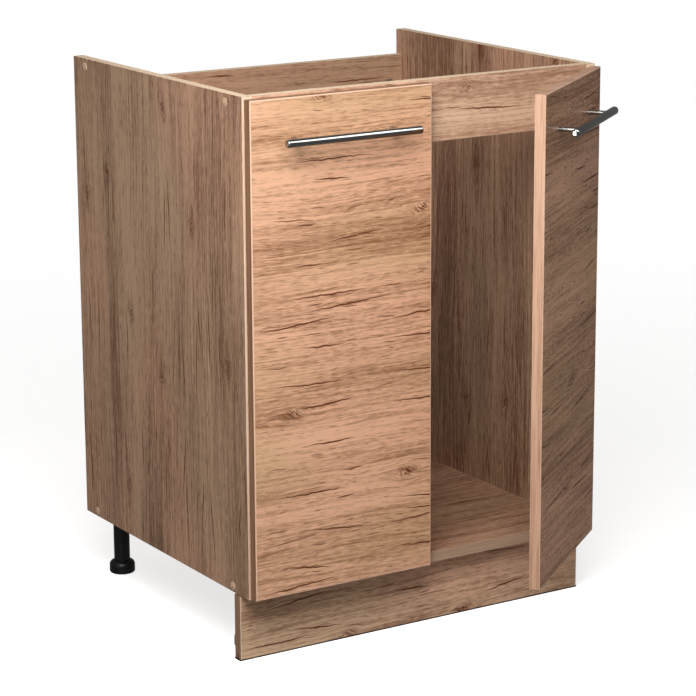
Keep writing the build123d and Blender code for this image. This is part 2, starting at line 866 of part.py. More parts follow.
for side_name, side in SIDES.items():
    with BuildPart() as door_panel:
        with BuildSketch(oriented(side_name, door_bottom + door_band)):
            with Locations((side * door_middle, (door_inside + door_outside) / 2)):
                Rectangle(door_width - 2 * door_band, board)
        extrude(amount=door_height - 2 * door_band)
        with Locations(
            *[door_spot(side_name, cup_along, door_inside, z) for z in hinge_heights]
        ):
            Hole(cup_radius, cup_depth)
        with Locations(
            *[door_spot(side_name, along, door_inside, z) for along, z in cup_screw_places]
        ):
            Hole(wood_screw_radius, wood_screw_length - flange_thickness)
        with Locations(
            *[door_spot(side_name, along, door_inside, handle_level) for along in post_places]
        ):
            CounterBoreHole(
                handle_screw_radius, handle_screw_head_radius, handle_screw_head_height, board
            )
    door_panel.part.label = f"{side_name}_door_panel"
    export_step(door_panel.part, f"parts/{side_name}_door_panel.step")

    with BuildPart() as door_edge_bands:
        with BuildSketch(oriented(side_name, door_bottom)):
            with Locations((side * door_middle, (door_inside + door_outside) / 2)):
                Rectangle(door_width, board)
        extrude(amount=door_height)
        long_edges = door_edge_bands.edges().filter_by(lambda edge: edge.length > 2 * board)
        fillet(long_edges, edge_round)
        with BuildSketch(oriented(side_name, door_bottom + door_band)):
            with Locations((side * door_middle, (door_inside + door_outside) / 2)):
                Rectangle(door_width - 2 * door_band, board)
        extrude(amount=door_height - 2 * door_band, mode=Mode.SUBTRACT)
    door_edge_bands.part.label = f"{side_name}_door_edge_bands"
    export_step(door_edge_bands.part, f"parts/{side_name}_door_edge_bands.step")

    with BuildPart() as hinge_cups:
        with BuildSketch(door_face(side_name, door_inside)):
            with Locations(*[(side * cup_along, z) for z in hinge_heights]):
                Circle(cup_radius)
        extrude(amount=cup_depth)
        with BuildSketch(door_face(side_name, door_inside)):
            with Locations(*[(side * cup_along, z) for z in hinge_heights]):
                Circle(cup_radius + flange_lip)
            with Locations(
                *[(side * (cup_along - cup_screw_offset), z) for z in hinge_heights]
            ):
                SlotCenterToCenter(cup_screw_spacing, 2 * cup_wing_radius, rotation=90)
        extrude(amount=-flange_thickness)
        with BuildSketch(door_face(side_name, door_inside + flange_thickness)):
            with Locations(*[(side * cup_along, z) for z in hinge_heights]):
                Circle(cup_radius - cup_wall)
        extrude(amount=flange_thickness + cup_depth - cup_wall, mode=Mode.SUBTRACT)
        with Locations(
            *[
                door_spot(side_name, along, door_inside + flange_thickness, z)
                for along, z in cup_screw_places
            ]
        ):
            Hole(wood_screw_radius, flange_thickness)
        for height in hinge_heights:
            for edge in (-1, 1):
                with BuildSketch(oriented(side_name, height + edge * ear_level)):
                    Circle(ear_radius)
                    with Locations((side * ear_reach / 2, (cup_floor + ear_radius) / 2)):
                        Rectangle(ear_reach, ear_radius - cup_floor)
                extrude(amount=edge * ear_thickness)
            with BuildSketch(oriented(side_name, height)):
                Circle(pin_radius)
            extrude(amount=pin_length / 2, both=True, mode=Mode.SUBTRACT)
    hinge_cups.part.label = f"{side_name}_hinge_cups"
    export_step(hinge_cups.part, f"parts/{side_name}_hinge_cups.step")

    with BuildPart() as hinge_pins:
        with Locations(*[oriented(side_name, z) for z in hinge_heights]):
            Cylinder(pin_radius, pin_length)
    hinge_pins.part.label = f"{side_name}_hinge_pins"
    export_step(hinge_pins.part, f"parts/{side_name}_hinge_pins.step")

    with BuildPart() as cup_screws:
        with Locations(
            *[
                door_spot(side_name, along, door_inside + flange_thickness, z)
                for along, z in cup_screw_places
            ]
        ):
            add(
                pan_head_screw(
                    wood_screw_head_radius,
                    flange_thickness,
                    wood_screw_radius,
                    wood_screw_length,
                )
            )
    cup_screws.part.label = f"{side_name}_cup_screws"
    export_step(cup_screws.part, f"parts/{side_name}_cup_screws.step")

    bar_centre = door_spot(
        side_name, door_middle, door_outside - handle_stand_off, handle_level
    ).origin
    bar_plane = Plane(origin=bar_centre, z_dir=oriented(side_name).x_dir)
    with BuildPart() as handle_bar:
        with Locations(bar_plane):
            Cylinder(handle_radius, handle_length)
        chamfer(handle_bar.edges().filter_by(GeomType.CIRCLE), handle_chamfer)
    handle_bar.part.label = f"{side_name}_handle_bar"
    export_step(handle_bar.part, f"parts/{side_name}_handle_bar.step")

    with BuildPart() as handle_posts:
        with BuildSketch(door_face(side_name, door_outside)):
            with Locations(*[(side * along, handle_level) for along in post_places]):
                Circle(post_radius)
        extrude(amount=handle_stand_off)
        with Locations(bar_plane):
            Cylinder(handle_radius, handle_length, mode=Mode.SUBTRACT)
        with Locations(
            *[door_spot(side_name, along, door_outside, handle_level) for along in post_places]
        ):
            Hole(handle_screw_radius, handle_screw_bite)
    handle_posts.part.label = f"{side_name}_handle_posts"
    export_step(handle_posts.part, f"parts/{side_name}_handle_posts.step")

    with BuildPart() as handle_screws:
        with Locations(
            *[
                door_spot(
                    side_name, along, door_inside - handle_screw_head_height, handle_level
                )
                for along in post_places
            ]
        ):
            add(
                pan_head_screw(
                    handle_screw_head_radius,
                    handle_screw_head_height,
                    handle_screw_radius,
                    board - handle_screw_head_height + handle_screw_bite,
                )
            )
    handle_screws.part.label = f"{side_name}_handle_screws"
    export_step(handle_screws.part, f"parts/{side_name}_handle_screws.step")

    with BuildPart() as door_bumpers:
        with Locations(
            *[door_spot(side_name, bumper_along, door_inside, z) for z in bumper_heights]
        ):
            Cylinder(
                bumper_radius,
                door_gap - bumper_clearance,
                align=(Align.CENTER, Align.CENTER, Align.MIN),
            )
    door_bumpers.part.label = f"{side_name}_door_bumpers"
    export_step(door_bumpers.part, f"parts/{side_name}_door_bumpers.step")
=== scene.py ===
import json
from math import atan2, cos, pi, radians, sin

import bmesh
import bpy
from mathutils import Matrix, Quaternion, Vector


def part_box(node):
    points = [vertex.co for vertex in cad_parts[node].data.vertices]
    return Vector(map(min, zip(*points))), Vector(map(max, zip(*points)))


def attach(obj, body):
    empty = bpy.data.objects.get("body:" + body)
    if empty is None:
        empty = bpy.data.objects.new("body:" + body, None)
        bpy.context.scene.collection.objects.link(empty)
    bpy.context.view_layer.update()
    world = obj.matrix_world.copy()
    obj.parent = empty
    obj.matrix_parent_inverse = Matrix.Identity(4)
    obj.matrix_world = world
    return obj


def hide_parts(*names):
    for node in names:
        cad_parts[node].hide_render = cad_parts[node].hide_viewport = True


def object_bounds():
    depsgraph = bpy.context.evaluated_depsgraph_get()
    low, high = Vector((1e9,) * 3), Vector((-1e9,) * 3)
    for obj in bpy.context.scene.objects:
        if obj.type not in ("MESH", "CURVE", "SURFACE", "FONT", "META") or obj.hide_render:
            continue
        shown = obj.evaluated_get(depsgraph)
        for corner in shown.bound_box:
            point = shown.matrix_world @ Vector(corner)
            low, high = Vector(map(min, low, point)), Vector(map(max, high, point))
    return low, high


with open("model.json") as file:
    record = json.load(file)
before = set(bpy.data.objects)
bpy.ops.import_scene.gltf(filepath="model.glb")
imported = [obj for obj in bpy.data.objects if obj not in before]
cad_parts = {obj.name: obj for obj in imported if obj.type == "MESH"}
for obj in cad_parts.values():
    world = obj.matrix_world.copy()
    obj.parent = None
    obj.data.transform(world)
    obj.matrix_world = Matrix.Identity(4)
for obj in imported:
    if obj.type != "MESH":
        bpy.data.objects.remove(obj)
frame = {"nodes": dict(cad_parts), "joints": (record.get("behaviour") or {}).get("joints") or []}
cad_box = [list(corner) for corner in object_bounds()]

# ---- Side panels ----
# Two upright boards of 16 mm chipboard, with a printed oak paper pressed on both faces, its grain
# running up. They are sawn to size, so the chipboard shows on bare edges and in every hole.


def socket_named(sockets, name):
    """The first socket with this identifier or name."""
    return next(socket for socket in sockets if name in (socket.identifier, socket.name))


class Wire:
    """One output in a finish's node tree. Arithmetic on wires adds Math nodes."""

    def __init__(self, tree, socket):
        self.tree = tree
        self.socket = socket

    def node(self, kind, settings, inputs, output=None):
        """Adds a node of any kind: its settings first, then its sockets' values or wires."""
        made = self.tree.nodes.new(kind)
        for name, value in settings.items():
            setattr(made, name, value)
        for name, value in inputs.items():
            socket = socket_named(made.inputs, name)
            if isinstance(value, Wire):
                self.tree.links.new(value.socket, socket)
            else:
                socket.default_value = value
        if output is None:
            return Wire(self.tree, made.outputs[0])
        return Wire(self.tree, socket_named(made.outputs, output))

    def math(self, operation, first, second=0.0):
        """A Math node on one or two numbers or wires."""
        return self.node(
            "ShaderNodeMath", {"operation": operation}, {"Value": first, "Value_001": second}
        )

    def __add__(self, other):
        return self.math("ADD", self, other)

    def __sub__(self, other):
        return self.math("SUBTRACT", self, other)

    def __rsub__(self, other):
        return self.math("SUBTRACT", other, self)

    def __mul__(self, other):
        return self.math("MULTIPLY", self, other)

    __radd__ = __add__
    __rmul__ = __mul__

    def __truediv__(self, other):
        return self.math("DIVIDE", self, other)

    def __abs__(self):
        return self.math("ABSOLUTE", self)

    def ramp(self, low, high):
        """Smooth step from 0 at low to 1 at high."""
        return self.node(
            "ShaderNodeMapRange",
            {"interpolation_type": "SMOOTHSTEP"},
            {"Value": self, "From Min": low, "From Max": high},
        )

    def moved(self, location=(0, 0, 0), rotation=(0, 0, 0), scale=(1, 1, 1)):
        """The pattern's place stretched, turned and moved."""
        return self.node(
            "ShaderNodeMapping",
            {},
            {"Vector": self, "Location": location, "Rotation": rotation, "Scale": scale},
        )

    def noise(self, scale, detail=2.0, roughness=0.5):
        """Cloudy pattern with its own number of cells per metre along each axis."""
        return self.node(
            "ShaderNodeTexNoise",
            {},
            {
                "Vector": self.moved(scale=scale),
                "Scale": 1.0,
                "Detail": detail,
                "Roughness": roughness,
            },
        )

    def apart(self):
        """The three numbers of a vector or colour."""
        split = self.tree.nodes.new("ShaderNodeSeparateXYZ")
        self.tree.links.new(self.socket, split.inputs[0])
        return [Wire(self.tree, socket) for socket in split.outputs]

    def blend(self, first, second):
        """Colour between two colours, by this wire."""
        return self.node(
            "ShaderNodeMix",
            {"data_type": "RGBA"},
            {"Factor_Float": self, "A_Color": first, "B_Color": second},
            "Result_Color",
        )


def finish(name, **constants):
    """New material with constant shader values. Returns it, its shader and its place in space."""
    material = bpy.data.materials.new(name)
    material.use_nodes = True
    tree = material.node_tree
    shader = tree.nodes["Principled BSDF"]
    for socket, value in constants.items():
        shader.inputs[socket.replace("_", " ")].default_value = value
    place = Wire(tree, tree.nodes.new("ShaderNodeTexCoord").outputs["Object"])
    return material, shader, place


def feed(shader, **wires):
    """Joins wires to the shader's sockets."""
    for socket, wire in wires.items():
        wire.tree.links.new(wire.socket, shader.inputs[socket.replace("_", " ")])


def raised(height, distance, strength=1.0):
    """Surface relief: a height of 1 in the pattern stands proud by the distance, in metres."""
    return height.node(
        "ShaderNodeBump",
        {},
        {"Height": height, "Distance": distance, "Strength": strength},
        "Normal",
    )


SCREEN_GAMMA = 2.2


def shade(red, green, blue):
    """A colour as it is seen on a screen, from 0 to 255, made linear for the shader."""
    return (*[(value / 255) ** SCREEN_GAMMA for value in (red, green, blue)], 1.0)


def dress(material, *names):
    """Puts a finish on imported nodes."""
    for name in names:
        for slot in frame["nodes"][name].material_slots:
            slot.material = material


RAW_EDGE_LIGHT = shade(248, 224, 194)
RAW_EDGE_DARK = shade(204, 168, 132)
CRACK = shade(102, 54, 28)


def chipboard(place):
    """Colour of sawn chipboard: pale wood chips in darker glue."""
    chips = place.noise((420, 420, 700), 3.0, 0.7)
    return chips.ramp(0.36, 0.56).blend(RAW_EDGE_DARK, RAW_EDGE_LIGHT)


def seats(plane, long, wide):
    """A net of stretched cells with one seat in each. Returns how far a point lies from its seat,
    in metres along and across the grain, and the seat's three chances from 0 to 1."""
    cells = plane.moved(scale=(1 / long, 1 / wide, 1))
    flat = {"voronoi_dimensions": "2D"}
    cell = {"Vector": cells, "Scale": 1.0}
    seat = cells.node("ShaderNodeTexVoronoi", flat, cell, "Position")
    chances = cells.node("ShaderNodeTexVoronoi", flat, cell, "Color").apart()
    away = cells.node(
        "ShaderNodeVectorMath", {"operation": "SUBTRACT"}, {"Vector": cells, "Vector_001": seat}
    )
    run, rise, _ = away.apart()
    return run * long, rise * wide, chances


# Each slit's length, its lean and its wander are shares of the cell that it lies in.
SLIT_SHORTEST = 0.08
SLIT_STRETCH = 0.32
SLIT_LEAN = 0.22
SLIT_WANDER = 0.16
SLIT_SOFTNESS = 0.45


def slits(plane, long, wide, opening, rarity):
    """Thin slits along the grain, pointed at both ends: one in each cell of this length and width
    whose chance is above the rarity, opening this far on either side of its line."""
    run, rise, (here, lean, size) = seats(plane, long, wide)
    wave = (plane.noise((70, 20, 3), 1.0) - 0.5) * wide * SLIT_WANDER
    reach = size * long * SLIT_STRETCH + long * SLIT_SHORTEST
    off = abs(rise - run * (lean - 0.5) * SLIT_LEAN + wave) * (1 / opening)
    inside = 1 - (run * run) / (reach * reach) - off
    return inside.ramp(0.0, SLIT_SOFTNESS) * here.ramp(rarity, rarity + 0.08)


# Slits of the print: the length and width of a cell and the opening, in metres, and the rarity.
DASHES = (0.052, 0.0072, 0.0009, 0.25)
PORES = (0.028, 0.0046, 0.0007, 0.40)
CRACKS = (0.21, 0.024, 0.0014, 0.46)
SPLITS = (0.060, 0.019, 0.0010, 0.74)
KNOT_CELL = (0.20, 0.10)
KNOT_LONG = 0.034
KNOT_WIDE = 0.014


def oak_print(place, light, tan, dark, knots=0.5):
    """Printed oak, grain along X. Returns its colour, how far the press has raised it, and its
    fine lines. A higher value of knots leaves fewer of them."""
    along, across, depth = place.apart()
    # Knots: one in each cell of the print, or none. The grain lines spread to go round them.
    run, rise, (here, lean, _) = seats(place, *KNOT_CELL)
    rise = rise + run * (lean - 0.5) * 0.5
    present = here.ramp(knots, knots + 0.02)
    spread = (run * run) * (1 / KNOT_LONG**2) + (rise * rise) * (1 / KNOT_WIDE**2)
    near = spread.math("EXPONENT", spread * -1) * present
    core = spread.math("EXPONENT", spread * -4) * present
    # Growth: broad tones, streaks, threads, fine lines and short grain, all bending together.
    bend = place.noise((2.1, 6, 6), 2.0) - 0.5
    lifted = across - rise * near * 0.8 + bend * 0.03
    lines = along.node("ShaderNodeCombineXYZ", {}, {"X": along, "Y": lifted, "Z": depth})
    bands = lines.noise((0.7, 13, 1), 1.0)
    patches = lines.noise((2.0, 14, 3), 2.0)
    streaks = lines.noise((2.2, 70, 4), 3.0, 0.6)
    threads = abs(lines.noise((3.4, 120, 5), 2.0, 0.4) - 0.5).ramp(0.07, 0.01)
    fine = lines.noise((6, 280, 10), 2.0, 0.55)
    short = lines.noise((70, 430, 90), 2.0, 0.6)
    # Pores: short dark dashes that gather in patches, with pale flecks between them.
    gathered = place.noise((8, 24, 5), 1.0).ramp(0.36, 0.60)
    dashes = slits(lines, *DASHES) * gathered
    pores = slits(lines, *PORES)
    flecks = lines.noise((70, 460, 60), 1.0).ramp(0.62, 0.70)
    # Cracks, long and short, and the scratchy heart of each knot.
    cracks = slits(lines, *CRACKS)
    splits = slits(lines, *SPLITS)
    crossing = place.moved(rotation=(0, 0, 0.6))
    scratch = crossing.noise((150, 520, 90), 1.0).ramp(0.47, 0.53)
    mark = cracks.math("MAXIMUM", cracks, splits * 0.8)
    mark = mark.math("MAXIMUM", mark, core * scratch)
    # All together: the tone picks a colour between dark and pale, and the marks go over it.
    tone = (bands - 0.5) * 1.1 + (patches - 0.5) * 0.95 + (streaks - 0.5) * 0.44 + 0.73
    tone = tone + (fine - 0.5) * 1.2 + (short - 0.5) * 1.1 - threads * 0.22 - dashes * 0.46
    tone = tone + flecks * 0.22 - pores * 0.38 - near * 0.08 + 0.02
    paler = place.noise((1.7, 5, 2), 1.0).ramp(0.40, 0.60).blend(light, tan)
    colour = mark.blend(tone.ramp(-0.1, 1.2).blend(dark, paler), CRACK)
    return colour, fine * 0.5 - dashes * 0.6 - mark, fine


def faces(place, direction):
    """1 on a face square to a direction, 0 on an edge along it."""
    normal = Wire(place.tree, place.tree.nodes["Texture Coordinate"].outputs["Normal"])
    return abs(
        place.node(
            "ShaderNodeVectorMath",
            {"operation": "DOT_PRODUCT"},
            {"Vector": normal, "Vector_001": direction},
            "Value",
        )
    )


PRINT_SHINE = 0.28
PRINT_ROUGHNESS = 0.42
PRESS_DEPTH = 0.00018
PRESS_STRENGTH = 0.6


def oak_board(name, grain, start, colours, direction, roughness=PRINT_ROUGHNESS, knots=0.5):
    """Board faced with printed oak. On its edges and in its holes the raw chipboard shows."""
    material, shader, place = finish(name, Specular_IOR_Level=PRINT_SHINE)
    colour, relief, lines = oak_print(place.moved(location=start, rotation=grain), *colours, knots)
    raw = faces(place, direction).ramp(0.6, 0.4)
    feed(
        shader,
        Base_Color=raw.blend(colour, chipboard(place)),
        Roughness=lines * 0.14 + raw * 0.3 + roughness,
        Normal=raised(relief, PRESS_DEPTH, PRESS_STRENGTH),
    )
    return material


# How a print is turned: its grain up, its grain across on an upright board, or on a flat board.
GRAIN_UP = (0, pi / 2, 0)
GRAIN_ACROSS = (-pi / 2, 0, 0)
GRAIN_FLAT = (0, 0, 0)
CARCASS_OAK = shade(204, 160, 132), shade(191, 157, 128), shade(112, 78, 58)
# Painted shade: the right side, the bottom and the rear rail wear a darker copy of the carcass
# print, standing in for the shade inside the cabinet, where less light reaches.
SHADED_INNER_OAK = shade(194, 151, 123), shade(182, 148, 119), shade(110, 77, 58)

dress(
    oak_board("oak_left_side", GRAIN_UP, (0.13, 0.31, 0.0), CARCASS_OAK, (1, 0, 0)),
    "left_side_panel",
)
# The right side wears the darker copy of the print: painted shade.
dress(
    oak_board("oak_right_side", GRAIN_UP, (1.71, 0.83, 0.0), SHADED_INNER_OAK, (1, 0, 0)),
    "right_side_panel",
)

# ---- Bottom panel ----
# The cabinet's floor, of the same printed chipboard with its grain from side to side. It is held
# between the sides by long screws and dowels, and the four legs are screwed to its underside.

# The bottom wears the darker copy of the carcass print: painted shade.
dress(
    oak_board("oak_bottom", GRAIN_FLAT, (0.4, 2.2, 0.0), SHADED_INNER_OAK, (0, 0, 1)),
    "bottom_panel",
)

# ---- Front and rear rails ----
# Two upright rails in place of a top: the front one is flush with the sides' tops and carries the
# sink's edge, the rear one sits 40 mm lower. Cam locks and dowels pull them to the sides.

# Painted light: the front rail wears a lighter copy of the carcass print, standing in for the light
# that falls on the cabinet's top.
LIT_RAIL_OAK = shade(237, 194, 165), shade(223, 188, 158), shade(154, 113, 89)

dress(
    oak_board("oak_front_rail", GRAIN_ACROSS, (0.9, 0.12, 0.0), LIT_RAIL_OAK, (0, 1, 0), knots=0.85),
    "front_rail",
)
# The rear rail wears the darker copy of the carcass print: painted shade.
dress(
    oak_board("oak_rear_rail", GRAIN_ACROSS, (2.3, 1.4, 0.0), SHADED_INNER_OAK, (0, 1, 0)),
    "rear_rail",
)

# ---- Edge bands of the carcass ----
# Strips of 1 mm plastic with a thin oak print, glued to the front edges of the sides and the bottom
# and to the underside of the front rail, then trimmed flush. Those on the sides are the palest;
# those on the bottom and under the front rail are a darker copy, as painted shade.

SIDE_BAND = shade(240, 214, 190), shade(212, 178, 148)
# Painted shade: the bottom's band and the front rail's underside band are a darker copy of the side
# bands.
SHADED_BOTTOM_BAND = shade(191, 162, 138), shade(168, 134, 108)


def band_print(place, pale, dark):
    """Print of an edge band, grain along X: soft streaks and fine lines. Returns its colour and
    its lines."""
    streaks = place.noise((4, 120, 120), 2.0)
    lines = place.noise((14, 520, 520), 2.0, 0.6)
    tone = (streaks - 0.5) * 1.2 + (lines - 0.5) * 1.3 + 0.66
    return tone.ramp(0.0, 1.0).blend(dark, pale), lines


def edge_band(name, grain, colours):
    """Plastic band with a pale, thin oak print."""
    material, shader, place = finish(name, Specular_IOR_Level=0.4)
    colour, lines = band_print(place.moved(rotation=grain), *colours)
    feed(
        shader,
        Base_Color=colour,
        Roughness=lines * 0.15 + 0.4,
        Normal=raised(lines, 0.00005, 0.5),
    )
    return material


dress(edge_band("band_upright", GRAIN_UP, SIDE_BAND), "side_edge_bands")
dress(
    edge_band("band_across", GRAIN_ACROSS, SHADED_BOTTOM_BAND),
    "bottom_edge_band",
    "front_rail_edge_band",
)

# ---- Dowels ----
# Turned beech pins, 8 mm across, glued half in the side panel and half in the end of a rail or of
# the bottom panel. They keep the boards in line while the fittings pull them tight.


def beech(name):
    """Plain beech with short dark flecks."""
    material, shader, place = finish(name, Roughness=0.62)
    streaks = place.noise((60, 500, 500), 2.0)
    flecks = place.noise((300, 1500, 1500), 1.0).ramp(0.6, 0.7)
    colour = streaks.ramp(0.3, 0.7).blend(shade(196, 150, 104), shade(222, 184, 138))
    feed(
        shader,
        Base_Color=(flecks * 0.5).blend(colour, shade(140, 96, 60)),
        Normal=raised(streaks, 0.0001),
    )
    return material


dress(beech("beech"), "rail_dowels", "bottom_dowels")

# ---- Cam bolts, cam locks and carcass screws ----
# The fittings that hold the boards together: zinc-plated steel bolts and screws, and cam locks cast
# in zinc, turned with a screwdriver to draw the bolt's head in.


def zinc_plate(name):
    """Bright zinc plating with a faint yellow and blue cast, dulled by handling."""
    material, shader, place = finish(name, Metallic=1.0)
    clouds = place.noise((160, 160, 160), 3.0, 0.6)
    scratches = place.noise((900, 900, 120), 2.0)
    feed(
        shader,
        Base_Color=clouds.ramp(0.3, 0.7).blend(shade(178, 178, 172), shade(208, 207, 196)),
        Roughness=clouds * 0.2 + scratches * 0.1 + 0.2,
        Normal=raised(scratches, 0.00002),
    )
    return material


def zinc_casting(name):
    """Die-cast zinc, satin, with a fine grainy skin."""
    material, shader, place = finish(name, Metallic=1.0)
    skin = place.noise((1800, 1800, 1800), 2.0)
    clouds = place.noise((120, 120, 120), 2.0)
    feed(
        shader,
        Base_Color=clouds.ramp(0.3, 0.7).blend(shade(158, 160, 162), shade(186, 188, 190)),
        Roughness=skin * 0.15 + 0.36,
        Normal=raised(skin, 0.00003),
    )
    return material


zinc = zinc_plate("zinc_plated_steel")
cast_zinc = zinc_casting("cast_zinc")
dress(zinc, "cam_bolts", "confirmat_screws")
dress(cast_zinc, "cam_locks")

# ---- Screw caps ----
# Domed plastic caps, coloured to match the print. The lower two on each side cover screw heads, and
# the upper two plug holes drilled for joining the next cabinet.


def cap_plastic(name):
    """Moulded plastic in the print's pale brown, slightly mottled, with a painted highlight: a
    lighter rim where the dome turns away from its crown.
    """
    material, shader, place = finish(name)
    mottle = place.noise((300, 300, 300), 3.0)
    # Painted highlight: the dome's rim is coloured lighter than its crown, by the way its faces
    # turn.
    crown_inside_painted_rim_highlight = faces(place, (1, 0, 0)).ramp(0.90, 0.97)
    feed(
        shader,
        Base_Color=(crown_inside_painted_rim_highlight - mottle * 0.4).blend(shade(246, 216, 186), shade(190, 150, 120)),
        Roughness=mottle * 0.15 + 0.38,
        Normal=raised(mottle, 0.00004),
    )
    return material


dress(cap_plastic("cap_plastic"), "left_screw_caps", "right_screw_caps")

# ---- Plinth ----
# A loose board that closes the gap under the cabinet, set back behind the doors. A soft plastic
# seal is pushed into a groove along its lower edge. A band on each end shows as a pale line.

# Painted light: the plinth's print is made lighter, to make up for the shade that falls under the
# doors' overhang.
LIT_PLINTH_OAK = shade(236, 190, 158), shade(224, 188, 154), shade(150, 108, 84)
PLINTH_END = shade(168, 130, 104), shade(112, 82, 62)
PALE_LINE = 0.0013


def banded_oak(name, start, colours):
    """Board with printed faces, whose edges wear a band. A pale line runs up each end of a face."""
    material, shader, place = finish(name, Specular_IOR_Level=PRINT_SHINE)
    colour, relief, lines = oak_print(
        place.moved(location=start, rotation=GRAIN_ACROSS), *colours, knots=0.42
    )
    line_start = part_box("plinth_board")[1].x - PALE_LINE
    rim = abs(place.apart()[0]).ramp(line_start, line_start + 0.0002)
    band, _ = band_print(place.moved(rotation=GRAIN_UP), *PLINTH_END)
    front = faces(place, (0, 1, 0)).ramp(0.4, 0.6)
    feed(
        shader,
        Base_Color=front.blend(band, rim.blend(colour, SIDE_BAND[0])),
        Roughness=lines * 0.14 + PRINT_ROUGHNESS,
        Normal=raised(relief, PRESS_DEPTH, PRESS_STRENGTH),
    )
    return material


dress(banded_oak("oak_plinth", (3.1, 0.5, 0.0), LIT_PLINTH_OAK), "plinth_board")


def soft_seal(name):
    """Dark brown flexible plastic, dusty along the floor."""
    material, shader, place = finish(name, Specular_IOR_Level=0.15)
    dust = place.noise((60, 300, 300), 3.0)
    feed(
        shader,
        Base_Color=dust.ramp(0.4, 0.8).blend(shade(34, 25, 20), shade(58, 46, 38)),
        Roughness=dust * 0.2 + 0.5,
        Normal=raised(dust, 0.00005),
    )
    return material


dress(soft_seal("seal_plastic"), "plinth_seal")

# ---- Legs ----
# Four levelling legs moulded in black plastic: a socket screwed under the bottom panel, a column,
# and a notched foot on a threaded spindle, which is turned by hand to level the cabinet.


def black_plastic(name):
    """Black moulded plastic with a fine spark-eroded skin and a few paler scuffs."""
    material, shader, place = finish(name)
    skin = place.noise((2600, 2600, 2600), 1.0)
    scuffs = place.noise((90, 90, 90), 4.0, 0.7).ramp(0.56, 0.74)
    feed(
        shader,
        Base_Color=scuffs.blend(shade(24, 24, 25), shade(44, 44, 45)),
        Roughness=scuffs * 0.2 + skin * 0.12 + 0.34,
        Normal=raised(skin, 0.00003),
    )
    return material


# Fittings are shaped in millimetres. Points nearer than this to one another are the same point.
MM = 1000
NEAR = 1e-4


def lathe(shaped, profile, steps=48):
    """Adds a profile of (radius, height) points, spun once round Z, to a shape."""
    points = [shaped.verts.new((radius, 0, height)) for radius, height in profile]
    edges = [shaped.edges.new(pair) for pair in zip(points, points[1:])]
    bmesh.ops.spin(
        shaped,
        geom=points + edges,
        cent=(0, 0, 0),
        axis=(0, 0, 1),
        angle=2 * pi,
        steps=steps,
        use_merge=True,
    )
    bmesh.ops.remove_doubles(shaped, verts=shaped.verts, dist=NEAR)


def copied(shape, spots):
    """The same shape at each spot, made from millimetres to metres."""
    gathered = bmesh.new()
    scratch = bpy.data.meshes.new("scratch")
    for spot in spots:
        turned = shape.copy()
        bmesh.ops.transform(turned, matrix=Matrix.Scale(1 / MM, 4) @ spot, verts=turned.verts)
        turned.to_mesh(scratch)
        gathered.from_mesh(scratch)
        turned.free()
    bpy.data.meshes.remove(scratch)
    shape.free()
    return gathered


def piece(name, shaped, material, body, node, crease=32):
    """Makes a finished shape a piece of the scene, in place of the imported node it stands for.
    Edges that turn by more than the crease, in degrees, stay sharp."""
    bmesh.ops.recalc_face_normals(shaped, faces=shaped.faces)
    mesh = bpy.data.meshes.new(name)
    shaped.to_mesh(mesh)
    shaped.free()
    mesh.shade_smooth()
    mesh.set_sharp_from_angle(angle=radians(crease))
    mesh.materials.append(material)
    made = bpy.data.objects.new(name, mesh)
    bpy.context.scene.collection.objects.link(made)
    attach(made, body)
    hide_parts(node)


SCREW_STEPS = 32
SLOT_SHARE = 0.27
RECESS_TAPER = 0.6


def cross_head_screw(profile, arm, depth):
    """Screw spun from its profile, which runs from its tip to its head's rim, and closed by a top
    with a cross recess. Each arm of the cross reaches this far from the middle."""
    shaped = bmesh.new()
    lathe(shaped, profile, SCREW_STEPS)
    rim_radius, top = profile[-1]
    half_slot = arm * SLOT_SHARE
    quarter = [(arm, 0), (arm, half_slot), (half_slot, half_slot), (half_slot, arm)]
    corners = []
    for turn in range(4):
        swing = Matrix.Rotation(turn * pi / 2, 4, "Z")
        corners += [shaped.verts.new(swing @ Vector((x, y, top))) for x, y in quarter]
    outline = [shaped.edges.new((a, b)) for a, b in zip(corners, corners[1:] + corners[:1])]
    bmesh.ops.subdivide_edges(shaped, edges=outline, cuts=1)
    cross = [
        edge
        for edge in shaped.edges
        if not edge.link_faces and all(abs(vert.co.z - top) < NEAR for vert in edge.verts)
    ]
    rim = [
        edge
        for edge in shaped.edges
        if len(edge.link_faces) == 1
        and all(abs(vert.co.to_2d().length - rim_radius) < NEAR for vert in edge.verts)
    ]
    floor_face = bmesh.ops.contextual_create(shaped, geom=cross)["faces"]
    bmesh.ops.bridge_loops(shaped, edges=cross + rim)
    # Extruding faces without their edges keeps the faces, so one still lies flat over the recess.
    sunk = bmesh.ops.extrude_face_region(shaped, geom=floor_face)["geom"]
    sunk = [vert for vert in sunk if isinstance(vert, bmesh.types.BMVert)]
    bmesh.ops.scale(shaped, vec=(RECESS_TAPER, RECESS_TAPER, 1), verts=sunk)
    bmesh.ops.translate(shaped, vec=(0, 0, -depth), verts=sunk)
    return shaped


def wood_screw(length, head):
    """Profile of a pointed screw, 3.5 mm thick, from its point up to its head."""
    return [(0, -length), (0.6, 1.5 - length), (1.75, 4 - length)] + head


def screws(node, profile, arm, depth, spots, body="carcass"):
    """Zinc-plated cross-head screws at these spots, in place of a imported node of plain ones."""
    shape = cross_head_screw(profile, arm, depth)
    piece(f"{node}_cross_head", copied(shape, spots), zinc, body, node)


